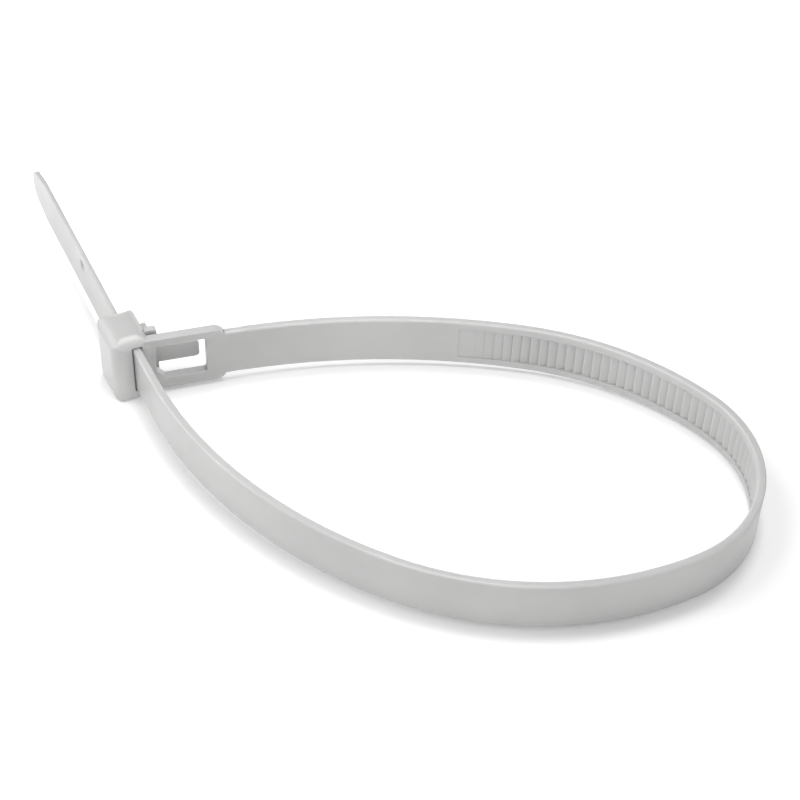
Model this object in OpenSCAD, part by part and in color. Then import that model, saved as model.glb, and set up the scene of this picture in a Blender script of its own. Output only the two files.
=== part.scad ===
// Releasable cable tie, closed into a loop and lying on its edge.
// One moulding: strap, neck, head, pawl and lever are one solid.
// Millimetres. Origin at the centre of the loop's round end, X to the right, Y away from the viewer, Z up.
// The strap runs clockwise from the neck round the loop, through the slot and out as the tail.

/* [Strap] */
// Width of the strap, across its face
strap_width = 7.6; // [6.8:0.1:8.4]
// Thickness of the strap
strap_thickness = 1.15; // [1.05:0.05:1.3]
// Rounding of the strap's outer edges
edge_round = 0.3; // [0.2:0.05:0.4]
// Width of the toothed channel in the inner face
channel_width = 5.2; // [4.6:0.1:5.6]
// Depth of the toothed channel
channel_depth = 0.45; // [0.35:0.05:0.5]
// Distance from one tooth to the next
tooth_pitch = 1.3; // [1.2:0.05:1.6]
// How far the tooth tips stay below the strap's inner face
tooth_drop = 0.06; // [0.04:0.01:0.12]

/* [Loop] */
// Direction of the neck in plan, degrees from X
neck_heading = 16.6; // [14:0.2:20]
// Extra turn of the head over a right angle to the neck
head_lean = 10.2; // [8:0.2:14]
// Radius of the first bend, after the neck
radius_1 = 95.3; // [88:0.1:102]
// Sweep of the first bend
sweep_1 = 25.5; // [23:0.1:28]
// Plain part of the first bend, before the teeth start
plain_sweep = 20; // [17:1:22]
// Radius of the second bend
radius_2 = 44.8; // [41.5:0.1:48]
// Sweep of the second bend
sweep_2 = 36.2; // [34:0.1:39]
// Radius of the tight end of the loop
radius_3 = 18.3; // [16.8:0.1:19.6]
// Sweep of the tight end of the loop
sweep_3 = 105.3; // [102:0.1:108]
// Radius of the fourth bend
radius_4 = 43.8; // [40.5:0.1:47]
// Sweep of the fourth bend
sweep_4 = 52; // [49:0.1:55]

/* [Tail] */
// Length of the tail, from the slot's centre to its tip
tail_length = 43.2; // [37:0.2:53]
// Clockwise turn of the thin tail from the slot's axis
tail_turn = 0.6; // [0.2:0.2:3]
// Thickness of the thin tail
tail_thickness = 0.65; // [0.55:0.05:0.8]
// Length of full thickness past the head, below zero inside it
full_past_head = -1; // [-1.1:0.1:0.4]
// Length over which the strap thins
ramp_length = 1; // [0.9:0.1:2.6]
// Length of the tapered end
tip_length = 7; // [5:0.5:11]
// Half width of the strap where the tip's round end starts
tip_half_width = 2.9; // [2.4:0.1:3.2]
// Distance from the slot's centre to the small hole
hole_from_slot = 18.9; // [14:0.1:26]
// Height of the small hole above the strap's middle
hole_rise = 1.5; // [0:0.1:2.4]
// Radius of the small hole
hole_radius = 0.7; // [0.4:0.05:0.8]
// Width of the flare round the small hole, on the outer face
hole_flare = 0.3; // [0.1:0.05:0.4]

/* [Head] */
// Head's reach below the strap's middle
head_below = 5.5; // [5:0.1:6]
// Head's reach above the strap's middle
head_above = 5.2; // [5:0.1:6]
// Head's depth, along the slot
head_depth = 7.7; // [7.2:0.1:8.4]
// Head's wall beyond the strap's outer face, clearance included
head_outer_wall = 2.85; // [2.6:0.05:3.2]
// Head's reach beyond the strap's toothed face
head_inner_reach = 1.75; // [1.6:0.05:2]
// Rounding of the head's top edges
top_round = 1.8; // [1.2:0.1:2.2]
// Rounding of the head's top edge above the neck
neck_side_round = 2.3; // [1.8:0.1:2.8]
// Rounding of the head's upright edges away from the neck
side_round = 1.8; // [1:0.1:2.2]
// Rounding of the head's lower edges
foot_round = 0.7; // [0.4:0.1:0.9]
// Clearance between the slot and the strap's outer face and edges
slot_clearance = 0.16; // [0.12:0.02:0.3]

/* [Neck] */
// Length of the neck, from the head to the end of its shoulders
neck_length = 10.2; // [9.7:0.1:11.4]
// Width of the neck
neck_width = 9.2; // [8.8:0.1:9.8]
// Thickness of the neck
neck_thickness = 1.25; // [1.15:0.05:1.4]
// Rounding of the neck's shoulders
shoulder_round = 1.6; // [1:0.1:2.2]
// Start of the window, from the head
window_start = 0.35; // [0.3:0.05:0.5]
// Length of the window
window_length = 7.1; // [6.7:0.1:7.6]
// Height of the window
window_height = 6.1; // [5.6:0.1:6.4]
// How far the window's middle is above the strap's
window_rise = 0.35; // [0:0.05:0.5]
// Size of the slanted corner of the window, low and next to the head
window_slant = 1.15; // [0.6:0.05:1.6]

/* [Lever] */
// Height of the lever
lever_height = 2.8; // [2.4:0.1:3.4]
// Thickness of the lever
lever_thickness = 0.95; // [0.8:0.05:1.15]
// Gap from the neck's inner face to the lever's inner face
lever_offset = 2.1; // [1.95:0.05:2.35]
// Gap between the lever's end and the end of the window
lever_end_gap = 0.7; // [0.45:0.05:1.05]
// Length of the crossbar that ties the lever to the head
crossbar_length = 0.95; // [0.8:0.05:1.25]
// Height of the crossbar, from the strap's middle to each end
crossbar_reach = 4.6; // [4.4:0.1:5]
// How far the pawl stands out of the head
pawl_out = 1.05; // [0.7:0.05:1.3]
// Thickness of the thin web that lets the pawl swing
hinge_thickness = 0.55; // [0.45:0.05:0.7]
// Clearance between the pawl and the strap
pawl_clearance = 0.12; // [0.08:0.02:0.2]

/* [Hidden] */
$fn = 96;
// Stretches of the strap run a lap into each other, every second one a hair slimmer, so that they join cleanly
lap = 0.1;
hair = 0.005;
half_t = strap_thickness / 2;
half_w = strap_width / 2;
slot_heading = neck_heading + 90 + head_lean;
across = slot_heading - 90;
head_left = half_t + head_outer_wall;
head_right = half_t + head_inner_reach;

// Where a bend that turns right ends, from its start, heading, radius and sweep
function after(p, h, r, a) = [p[0] + r * (sin(h) - sin(h - a)), p[1] - r * (cos(h) - cos(h - a))];
function centre(p, h, r) = [p[0] + r * sin(h), p[1] - r * cos(h)];
function along(h) = [cos(h), sin(h)];
function left(h) = [-sin(h), cos(h)];

// The neck starts at the head's side with its inner face flush with the slot's entry
neck_root = along(across) * head_right - left(across) * (head_depth / 2 - half_t);
start = neck_root + along(neck_heading) * neck_length;

// Each bend starts where the one before ends. The last one closes on the slot's axis.
h1 = neck_heading;
h2 = h1 - sweep_1;
h3 = h2 - sweep_2;
h4 = h3 - sweep_3;
h5 = h4 - sweep_4;
p1 = start;
p2 = after(p1, h1, radius_1, sweep_1);
p3 = after(p2, h2, radius_2, sweep_2);
p4 = after(p3, h3, radius_3, sweep_3);
p5 = after(p4, h4, radius_4, sweep_4);
h6 = slot_heading - 360;
sweep_5 = h5 - h6;
side = left(slot_heading);
radius_5 = -(p5 * side) / ([sin(h5) - sin(h6), cos(h6) - cos(h5)] * side);
p6 = after(p5, h5, radius_5, sweep_5);
run_in = -(p6 * along(slot_heading));

// Path as rows of start point, heading, radius and sweep
BENDS = [
    [p1, h1, radius_1, sweep_1],
    [p2, h2, radius_2, sweep_2],
    [p3, h3, radius_3, sweep_3],
    [p4, h4, radius_4, sweep_4],
    [p5, h5, radius_5, sweep_5]
];
function bend_length(i) = BENDS[i][2] * BENDS[i][3] * PI / 180;
function length_before(i) = i == 0 ? 0 : length_before(i - 1) + bend_length(i - 1);
to_slot = length_before(4) + bend_length(4) + run_in;

// Point on the path at a length from the neck's end, moved right by an offset
function on_bend(b, a, off) = centre(b[0], b[1], b[2]) + left(b[1] - a) * (b[2] - off);
function path(s, off, i = 0) =
    i == 5 ? along(slot_heading) * (s - to_slot) - side * off :
    s <= length_before(i) + bend_length(i)
        ? on_bend(BENDS[i], (s - length_before(i)) / BENDS[i][2] * 180 / PI, off)
        : path(s, off, i + 1);

// Teeth are counted both ways from the slot's centre
teeth_start = radius_1 * plain_sweep * PI / 180;
full_end = head_depth / 2 + full_past_head;
teeth_end = to_slot + full_end;
tail_heading = slot_heading - tail_turn;
tail_root = along(slot_heading) * full_end + side * (half_t - tail_thickness / 2 - 0.02);
first_tooth = ceil((teeth_start - to_slot) / tooth_pitch) + 1;
last_tooth = floor((teeth_end - to_slot) / tooth_pitch) - 1;
floor_off = half_t - channel_depth;
root_off = floor_off - 0.04;
tip_off = half_t - tooth_drop;

// The tie lies on its head's edge and on the loop's far end
rest_heading = -40;
round_end = centre(p3, h3, radius_3);
rest_reach = round_end * along(rest_heading) + radius_3 + half_t;
rest_tilt = asin((head_below - half_w) / rest_reach);

module rounded(x0, x1, y0, y1, r) {
    translate([x0 + r, y0]) square([x1 - x0 - 2 * r, y1 - y0]);
    translate([x0, y0 + r]) square([x1 - x0, y1 - y0 - 2 * r]);
    for (x = [x0 + r, x1 - r], y = [y0 + r, y1 - r]) translate([x, y]) circle(r);
}

// Section of the strap, outer face towards plus X
module section(i, t = strap_thickness, r = edge_round) {
    k = (i % 2) * hair;
    rounded(k - t / 2, t / 2 - k, k - half_w, half_w - k, r);
}

// Section of the channel that holds the teeth, open at the inner face
module channel_section(i) {
    k = (i % 2) * hair;
    translate([-half_t - 1, k - channel_width / 2]) square([1 + channel_depth - k, channel_width - 2 * k]);
}

// Turns a section round a bend, between two sweeps, with a short lap at each end
module bend(b, from, to) {
    c = centre(b[0], b[1], b[2]);
    more = lap / b[2] * 180 / PI;
    translate([c[0], c[1], 0])
        rotate([0, 0, b[1] + 90 - to - more])
        rotate_extrude(angle = to - from + 2 * more)
        translate([b[2], 0])
        children();
}

module straight(p, h, len) {
    translate([p[0], p[1], 0])
        rotate([0, 0, h])
        rotate([90, 0, 90])
        linear_extrude(len)
        children();
}

module strap() {
    difference() {
        union() {
            for (i = [0 : 4]) bend(BENDS[i], 0, BENDS[i][3]) section(i);
            tail();
        }
        for (i = [0 : 4]) bend(BENDS[i], i == 0 ? plain_sweep : 0, BENDS[i][3]) channel_section(i);
        straight(p6, slot_heading, run_in + full_end) channel_section(5);
        tail_hole();
    }
}

// The first teeth start shallow and deepen one by one
function root_of(k) = tip_off - (tip_off - root_off) * min(1, (k - first_tooth + 1) / 7);

module teeth() {
    top = [
        for (k = [first_tooth : last_tooth], j = [0, 1])
            path(to_slot + (k + (j == 0 ? 0 : 0.02)) * tooth_pitch, j == 0 ? root_of(k) : tip_off)
    ];
    back = [for (k = [last_tooth + 1 : -1 : first_tooth]) path(to_slot + k * tooth_pitch, floor_off - 0.25)];
    lead_in = [path(teeth_start - 0.6, floor_off - 0.25), path(teeth_start - 0.6, tip_off)];
    translate([0, 0, -channel_width / 2 - 0.05])
        linear_extrude(channel_width + 0.1)
        polygon(concat(lead_in, top, [path(to_slot + (last_tooth + 1) * tooth_pitch, root_off)], back));
}

// Straight end of the strap, from the last bend to the tip, cut to the tip's outline
module tail() {
    taper = tail_length - tip_length;
    round_start = tail_length - tip_half_width;
    intersection() {
        union() {
            intersection() {
                straight(p6, slot_heading, run_in + full_end + ramp_length) section(5);
                ramp();
            }
            straight(tail_root - along(tail_heading) * 0.5, tail_heading, tail_length - full_end + 0.5)
                section(5, tail_thickness, tail_thickness / 3);
        }
        rotate([0, 0, slot_heading])
            rotate([90, 0, 0])
            linear_extrude(strap_thickness + 2, center = true) {
                polygon([
                    [-run_in - 1, -half_w - 1],
                    [taper, -half_w - 1],
                    [taper, -half_w],
                    [round_start, -tip_half_width],
                    [round_start, tip_half_width],
                    [taper, half_w],
                    [taper, half_w + 1],
                    [-run_in - 1, half_w + 1]
                ]);
                translate([round_start, 0]) circle(tip_half_width);
            }
    }
}

// Plan outline of the straight strap up to where it has thinned, with Y towards its outer face
module ramp() {
    ramp_end = full_end + ramp_length;
    rotate([0, 0, slot_heading])
        translate([0, 0, -strap_width])
        linear_extrude(2 * strap_width)
        polygon([
            [-run_in - 1, -half_t - 1],
            [full_end, -half_t - 1],
            [full_end, -half_t],
            [ramp_end, half_t - tail_thickness - ramp_length * sin(tail_turn)],
            [ramp_end, half_t - tail_thickness / 2 - ramp_length * sin(tail_turn)],
            [full_end, half_t - tail_thickness / 2],
            [full_end, half_t + 1],
            [-run_in - 1, half_t + 1]
        ]);
}

module tail_hole() {
    face = half_t - 0.02 - (hole_from_slot - full_end) * sin(tail_turn);
    rotate([0, 0, slot_heading])
        translate([hole_from_slot, 0, hole_rise])
        rotate([90, 0, 0]) {
            cylinder(r = hole_radius, h = strap_thickness + 2, center = true);
            translate([0, 0, -face - 0.1])
                cylinder(r1 = hole_radius + hole_flare + 0.1, r2 = hole_radius, h = hole_flare + 0.1);
        }
}

// Rectangle with a radius for each corner, from the lower left one, anticlockwise
module cornered(x0, x1, y0, y1, r) {
    polygon([
        [x0 + r[0], y0],
        [x1 - r[1], y0],
        [x1, y0 + r[1]],
        [x1, y1 - r[2]],
        [x1 - r[2], y1],
        [x0 + r[3], y1],
        [x0, y1 - r[3]],
        [x0, y0 + r[0]]
    ]);
    translate([x0 + r[0], y0 + r[0]]) circle(r[0]);
    translate([x1 - r[1], y0 + r[1]]) circle(r[1]);
    translate([x1 - r[2], y1 - r[2]]) circle(r[2]);
    translate([x0 + r[3], y1 - r[3]]) circle(r[3]);
}

// Head frame: X across the slot towards the neck, Y along the slot, Z up
module head_block() {
    front = -head_depth / 2;
    back = head_depth / 2;
    intersection() {
        translate([0, 0, -10]) linear_extrude(20)
            cornered(-head_left, head_right, front, back, [side_round, 0.5, 1.2, side_round * 0.7]);
        rotate([90, 0, 90]) translate([0, 0, -10]) linear_extrude(20)
            cornered(front, back, -head_below, head_above, [foot_round, foot_round, top_round, top_round]);
        rotate([90, 0, 0]) translate([0, 0, -10]) linear_extrude(20)
            cornered(-head_left, head_right, -head_below, head_above, [foot_round, foot_round, neck_side_round, top_round]);
    }
}

pawl_half = channel_width / 2 - 0.35;
slot_half = half_w + slot_clearance;
web_y = -head_depth / 2 + neck_thickness;

module head_cut() {
    // Slot for the strap
    translate([-half_t - slot_clearance, -head_depth, -slot_half])
        cube([strap_thickness + slot_clearance + pawl_clearance, 2 * head_depth, 2 * slot_half]);
    // Room for the pawl, open towards the neck and the exit
    translate([0, web_y, -slot_half])
        cube([head_right + 2, head_depth, 2 * slot_half]);
}

module pawl() {
    x0 = half_t + pawl_clearance;
    // Body
    translate([x0 + 0.25, web_y + 0.4, -pawl_half])
        cube([head_right + pawl_out - x0 - 0.25, 2 * tooth_pitch - web_y - 0.3, 2 * pawl_half]);
    // Thin web to the neck's root
    translate([x0 + 0.5, web_y - 0.2, -pawl_half])
        cube([hinge_thickness, 1.2, 2 * pawl_half]);
    // Teeth
    translate([0, 0, -pawl_half])
        linear_extrude(2 * pawl_half)
        for (k = [0, 1])
            polygon([
                [x0 + 0.4, k * tooth_pitch + 0.1],
                [x0 + 0.4, (k + 1) * tooth_pitch],
                [floor_off + pawl_clearance + 0.2, (k + 1) * tooth_pitch - 0.12],
            ]);
}

// Neck frame: X along the neck, Y outwards from its middle, Z up
module neck_plate() {
    inner = -half_t;
    rotate([90, 0, 0])
        translate([0, 0, -(inner + neck_thickness)])
        linear_extrude(neck_thickness)
        difference() {
            cornered(-1.3, neck_length, -neck_width / 2, neck_width / 2, [0.5, shoulder_round, shoulder_round, 0.5]);
            translate([0, window_rise])
                difference() {
                    rounded(window_start, window_start + window_length, -window_height / 2, window_height / 2, 0.35);
                    translate([window_start, -window_height / 2])
                        polygon([[-0.5, -0.5], [window_slant + 0.5, -0.5], [-0.5, window_slant * 1.3 + 0.5]]);
                }
        }
}

module lever() {
    inner = -half_t + lever_offset;
    rotate([90, 0, 0])
        translate([0, 0, -(inner + lever_thickness)])
        linear_extrude(lever_thickness) {
            rounded(-0.8, window_start + window_length - lever_end_gap, -lever_height / 2, lever_height / 2, 0.55);
            rounded(-0.8, crossbar_length, -crossbar_reach, crossbar_reach, 0.5);
        }
}

module head() {
    rotate([0, 0, across]) {
        difference() {
            head_block();
            head_cut();
        }
        pawl();
    }
}

module neck() {
    translate([neck_root[0], neck_root[1], 0])
        rotate([0, 0, neck_heading]) {
            neck_plate();
            lever();
        }
}

module cable_tie() {
    color([0.86, 0.86, 0.85])
        rotate(a = rest_tilt, v = [-sin(rest_heading), cos(rest_heading), 0])
        translate([-round_end[0], -round_end[1], 0]) {
            strap();
            teeth();
            head();
            neck();
        }
}

cable_tie();
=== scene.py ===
"""Looks for a releasable cable tie, closed into a loop and lying on its edge. Metres, in the row's frame."""

import math

import bpy
from mathutils import Matrix, Vector


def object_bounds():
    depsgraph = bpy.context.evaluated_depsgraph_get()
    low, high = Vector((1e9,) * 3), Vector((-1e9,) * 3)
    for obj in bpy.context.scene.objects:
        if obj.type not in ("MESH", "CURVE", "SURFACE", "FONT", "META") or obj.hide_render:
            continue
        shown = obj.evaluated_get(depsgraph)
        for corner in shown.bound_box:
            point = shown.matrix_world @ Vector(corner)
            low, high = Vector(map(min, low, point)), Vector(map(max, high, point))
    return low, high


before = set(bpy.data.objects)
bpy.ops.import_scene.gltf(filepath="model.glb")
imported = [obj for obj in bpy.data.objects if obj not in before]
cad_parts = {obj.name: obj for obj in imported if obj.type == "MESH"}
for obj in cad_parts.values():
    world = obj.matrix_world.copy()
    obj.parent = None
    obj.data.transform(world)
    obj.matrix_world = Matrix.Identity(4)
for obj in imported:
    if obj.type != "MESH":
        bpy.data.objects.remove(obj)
cad_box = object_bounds()
scene = bpy.context.scene
scene.view_settings.view_transform = "Standard"

# Tie
# One piece, injection-moulded in natural nylon, with its free end threaded through the slot in its head.
# The nylon is milky and lets a little light in. Faint flow clouds tint it, its soft sheen is uneven,
# and a very fine grain from the mould breaks up its highlights.
cloud_scale = 70
cloud_range = (0.35, 0.68)
dark_nylon = (0.485, 0.485, 0.482, 1)
pale_nylon = (0.530, 0.530, 0.526, 1)
sheen_scale = 260
smoothest, roughest = 0.25, 0.38
grain_scale = 2600
grain_depth = 0.00004
grain_strength = 0.10
edge_softening = 0.0003

nylon = bpy.data.materials.new("natural_nylon")
nylon.use_nodes = True
nodes = nylon.node_tree.nodes
links = nylon.node_tree.links
surface = nodes["Principled BSDF"]
surface.inputs["IOR"].default_value = 1.53
surface.inputs["Subsurface Weight"].default_value = 0.5
surface.inputs["Subsurface Radius"].default_value = (1, 1, 1)
surface.inputs["Subsurface Scale"].default_value = 0.0014
place = nodes.new("ShaderNodeTexCoord")


def moulded_noise(scale, detail):
    """Gives noise that is fixed in the nylon."""
    noise = nodes.new("ShaderNodeTexNoise")
    noise.inputs["Scale"].default_value = scale
    noise.inputs["Detail"].default_value = detail
    links.new(place.outputs["Object"], noise.inputs["Vector"])
    return noise.outputs["Fac"]


tint = nodes.new("ShaderNodeValToRGB")
for stop, position, colour in zip(tint.color_ramp.elements, cloud_range, (dark_nylon, pale_nylon)):
    stop.position = position
    stop.color = colour
links.new(moulded_noise(cloud_scale, detail=4), tint.inputs["Fac"])
links.new(tint.outputs["Color"], surface.inputs["Base Color"])

polish = nodes.new("ShaderNodeMapRange")
polish.inputs["To Min"].default_value = smoothest
polish.inputs["To Max"].default_value = roughest
links.new(moulded_noise(sheen_scale, detail=5), polish.inputs["Value"])
links.new(polish.outputs["Result"], surface.inputs["Roughness"])

soft_edges = nodes.new("ShaderNodeBevel")
soft_edges.samples = 4
soft_edges.inputs["Radius"].default_value = edge_softening
grain = nodes.new("ShaderNodeBump")
grain.inputs["Strength"].default_value = grain_strength
grain.inputs["Distance"].default_value = grain_depth
links.new(moulded_noise(grain_scale, detail=3), grain.inputs["Height"])
links.new(soft_edges.outputs["Normal"], grain.inputs["Normal"])
links.new(grain.outputs["Normal"], surface.inputs["Normal"])

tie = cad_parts["cable_tie"]
for slot in tie.material_slots:
    slot.material = nylon

# Floor
# A plain sheet of white paper under the tie's lowest edge. Where the camera or a reflection sees it, it has
# a painted glow.
# The glow is faint by the near strand, where the tie's shadow stays. It grows brighter and brighter away
# from that strand, so it paints light over the tie's other shadows, such as the tail's, and the paper runs
# out into the white background.
sheet_size = 6
near_strand = (-0.025, -0.020, 0)
plain_within = 0.02
white_beyond = 0.18
least_painted_glow = 0.09
full_painted_glow = 1

bpy.ops.mesh.primitive_plane_add(size=sheet_size, location=(0, 0, cad_box[0].z))
floor = bpy.context.object
floor.name = "floor"
paper = bpy.data.materials.new("white_paper")
paper.use_nodes = True
paper_nodes = paper.node_tree.nodes
paper_links = paper.node_tree.links
paper_surface = paper_nodes["Principled BSDF"]
paper_surface.inputs["Base Color"].default_value = (0.96, 0.96, 0.96, 1)
paper_surface.inputs["Roughness"].default_value = 0.9
paper_surface.inputs["Specular IOR Level"].default_value = 0.1


def seen_directly(tree):
    """Gives 1 where the camera, a reflection or a clear piece shows it, and 0 where it only sheds light."""
    path = tree.nodes.new("ShaderNodeLightPath")
    shown = path.outputs["Is Camera Ray"]
    for other in ("Is Glossy Ray", "Is Transmission Ray"):
        either = tree.nodes.new("ShaderNodeMath")
        either.operation = "MAXIMUM"
        tree.links.new(shown, either.inputs[0])
        tree.links.new(path.outputs[other], either.inputs[1])
        shown = either.outputs["Value"]
    return shown


from_strand = paper_nodes.new("ShaderNodeVectorMath")
from_strand.operation = "DISTANCE"
from_strand.inputs[1].default_value = near_strand
spread = paper_nodes.new("ShaderNodeMapRange")
spread.interpolation_type = "SMOOTHSTEP"
spread.inputs["From Min"].default_value = plain_within
spread.inputs["From Max"].default_value = white_beyond
spread.inputs["To Min"].default_value = least_painted_glow
spread.inputs["To Max"].default_value = full_painted_glow
# Painted light: an emission glow that shows only where the paper is seen directly. It grows with distance
# from the near strand and fades out the shadows there.
shown_painted_glow = paper_nodes.new("ShaderNodeMath")
shown_painted_glow.operation = "MULTIPLY"
painted_glow = paper_nodes.new("ShaderNodeEmission")
paper_with_painted_glow = paper_nodes.new("ShaderNodeAddShader")
sheet_place = paper_nodes.new("ShaderNodeTexCoord")
paper_links.new(sheet_place.outputs["Object"], from_strand.inputs[0])
paper_links.new(from_strand.outputs["Value"], spread.inputs["Value"])
paper_links.new(spread.outputs["Result"], shown_painted_glow.inputs[0])
paper_links.new(seen_directly(paper.node_tree), shown_painted_glow.inputs[1])
paper_links.new(shown_painted_glow.outputs["Value"], painted_glow.inputs["Strength"])
paper_links.new(paper_surface.outputs["BSDF"], paper_with_painted_glow.inputs[0])
paper_links.new(painted_glow.outputs["Emission"], paper_with_painted_glow.inputs[1])
paper_links.new(paper_with_painted_glow.outputs["Shader"], paper_nodes["Material Output"].inputs["Surface"])
floor.data.materials.append(paper)

# Background
# A plain white studio wall all round. It is white where the camera or a reflection sees it,
# and only a dim even glow for what it lights.
wall_white = (1, 1, 1, 1)
wall_light = 0.30
wall_shown = 1

studio = bpy.data.worlds.new("studio")
studio.use_nodes = True
scene.world = studio
studio_nodes = studio.node_tree.nodes
studio_links = studio.node_tree.links
dim_wall = studio_nodes["Background"]
dim_wall.inputs["Color"].default_value = wall_white
dim_wall.inputs["Strength"].default_value = wall_light
white_wall = studio_nodes.new("ShaderNodeBackground")
white_wall.inputs["Color"].default_value = wall_white
white_wall.inputs["Strength"].default_value = wall_shown
wall = studio_nodes.new("ShaderNodeMixShader")
studio_links.new(seen_directly(studio.node_tree), wall.inputs["Fac"])
studio_links.new(dim_wall.outputs["Background"], wall.inputs[1])
studio_links.new(white_wall.outputs["Background"], wall.inputs[2])
studio_links.new(wall.outputs["Shader"], studio_nodes["World Output"].inputs["Surface"])

# Lights
# A soft box behind lays a short shadow in front of the near strand, and one on the left brightens the head
# and the tail. A low fill lifts the faces turned to the camera, and a small lamp clears the neck and lever.
# Each line has a lamp's name, its place, what it aims at, its side in metres and its watts.
loop_middle = Vector((-0.018, 0.010, 0))
neck = Vector((-0.050, 0.020, 0))
for name, lamp_place, aim, side, watts in (
    ("back_box", Vector((0.030, 0.165, 0.72)), loop_middle, 0.18, 1.85),
    ("left_box", Vector((-0.58, 0.05, 0.23)), loop_middle, 0.42, 1.6),
    ("front_fill", Vector((0.05, -0.42, 0.13)), loop_middle, 0.30, 0.65),
    ("loop_lamp", Vector((-0.038, 0.002, 0.09)), neck, 0.04, 0.032),
):
    lamp_data = bpy.data.lights.new(name, "AREA")
    lamp_data.shape = "SQUARE"
    lamp_data.size = side
    lamp_data.energy = watts
    lamp = bpy.data.objects.new(name, lamp_data)
    lamp.location = lamp_place
    lamp.rotation_euler = (aim - lamp_place).to_track_quat("-Z", "Y").to_euler()
    lamp.visible_camera = False
    scene.collection.objects.link(lamp)

# Camera
# The photo looks down at the loop from the front, through a fairly long lens and with no shift.
# Its directions and place are written for a tie whose strap stands upright,
# and are then turned with the small tilt at which the tie rests.
photo_width_px = 800
lens_px = 1893.7
sensor_mm = 36
turn = math.radians(0.443)
pitch = math.radians(43.994)
roll = -0.03916
from_round_end = Vector((-0.030559, -0.172901, 0.180424))
rest_heading = math.radians(-40)
rest_tilt = math.radians(1.1562)

tilt_axis = Vector((-math.sin(rest_heading), math.cos(rest_heading), 0))
rest_turn = Matrix.Rotation(rest_tilt, 3, tilt_axis)
ahead = Vector((math.sin(turn) * math.cos(pitch), math.cos(turn) * math.cos(pitch), -math.sin(pitch)))
across = Vector((math.cos(turn), -math.sin(turn), 0))
down = ahead.cross(across)
right = rest_turn @ (across * math.cos(roll) + down * math.sin(roll))
up = rest_turn @ (across * math.sin(roll) - down * math.cos(roll))
back = rest_turn @ -ahead

camera_data = bpy.data.cameras.new("photo_camera")
camera_data.sensor_fit = "HORIZONTAL"
camera_data.sensor_width = sensor_mm
camera_data.lens = lens_px / photo_width_px * sensor_mm
camera_data.clip_start = 0.01
camera = bpy.data.objects.new("photo_camera", camera_data)
camera.matrix_world = Matrix((right, up, back)).transposed().to_4x4()
camera.location = rest_turn @ from_round_end
scene.collection.objects.link(camera)
scene.camera = camera
